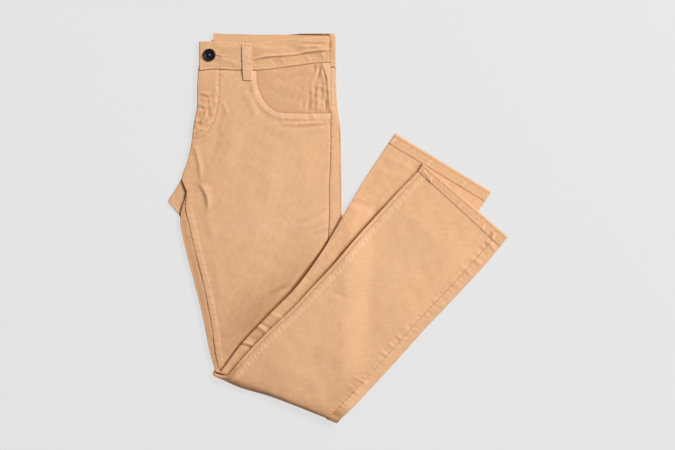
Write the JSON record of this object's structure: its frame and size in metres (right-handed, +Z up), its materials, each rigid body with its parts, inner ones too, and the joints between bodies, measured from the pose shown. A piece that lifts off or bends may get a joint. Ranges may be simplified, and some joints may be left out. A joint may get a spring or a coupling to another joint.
{
  "type": "folded twill trousers",
  "caption": "Five-pocket twill trousers folded lengthwise and then up at the knee, lying flat, with buttoned waistband, belt loop and curved hip pocket.",
  "frame": {"origin": "on the surface the trousers lie on, under the middle of the folded outline", "axes": "+X to the right of the picture, +Y from the knee fold to the waistband, +Z up out of the surface"},
  "size_m": [0.5451, 0.6241, 0.0181],
  "materials": {
    "twill": "matt brushed cotton twill, apricot tan",
    "button_metal": "black enamelled jeans button, satin"
  },
  "bodies": {
    "root": {"front_left": "twill", "back_left": "twill", "front_left_lower": "twill", "back_left_lower": "twill", "front_right_lower": "twill", "back_right_lower": "twill", "hem_left": "twill", "hem_right": "twill", "hidden_layers": "twill", "waistband_front": "twill", "waistband_back": "twill", "belt_loop": "twill", "button": "button_metal", "pocket_facing": "twill"}
  },
  "joints": []
}
